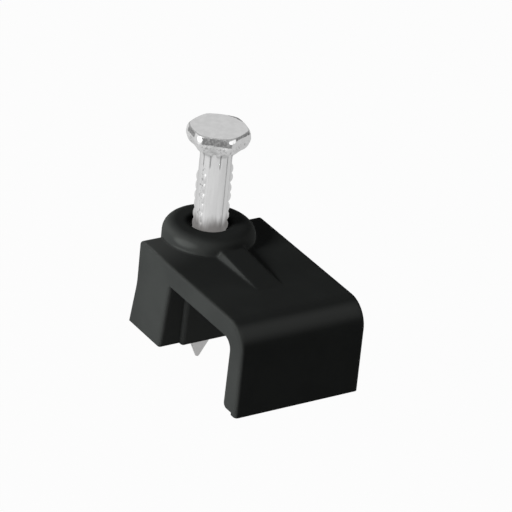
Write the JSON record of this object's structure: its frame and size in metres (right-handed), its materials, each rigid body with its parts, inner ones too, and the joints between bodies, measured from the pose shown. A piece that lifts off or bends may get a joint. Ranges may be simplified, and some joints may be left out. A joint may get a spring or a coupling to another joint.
{
  "type": "nail-in cable clip",
  "caption": "Moulded plastic cable clip with an open channel beside a nail collar, held to a wall by a lobed-head hardened nail that slides down its bore.",
  "frame": {"origin": "where the nail's axis meets the wall face, the plane of the clip's feet", "axes": "+Z along the nail's axis, away from the wall; +X from the nail across the cable channel to the hook; +Y along the cable"},
  "size_m": [0.0145, 0.0088, 0.0163],
  "materials": {
    "black_polymer": "black moulded polyethylene, satin",
    "plated_steel": "bright zinc-plated hardened steel"
  },
  "bodies": {
    "clip_body": {"clip_body": "black_polymer"},
    "nail": {"nail": "plated_steel"}
  },
  "joints": [
    {"name": "nail_drive", "type": "slide", "parent": "clip_body", "child": "nail", "axis": [0, 0, -1], "range_m": [0, 0.0051]}
  ]
}
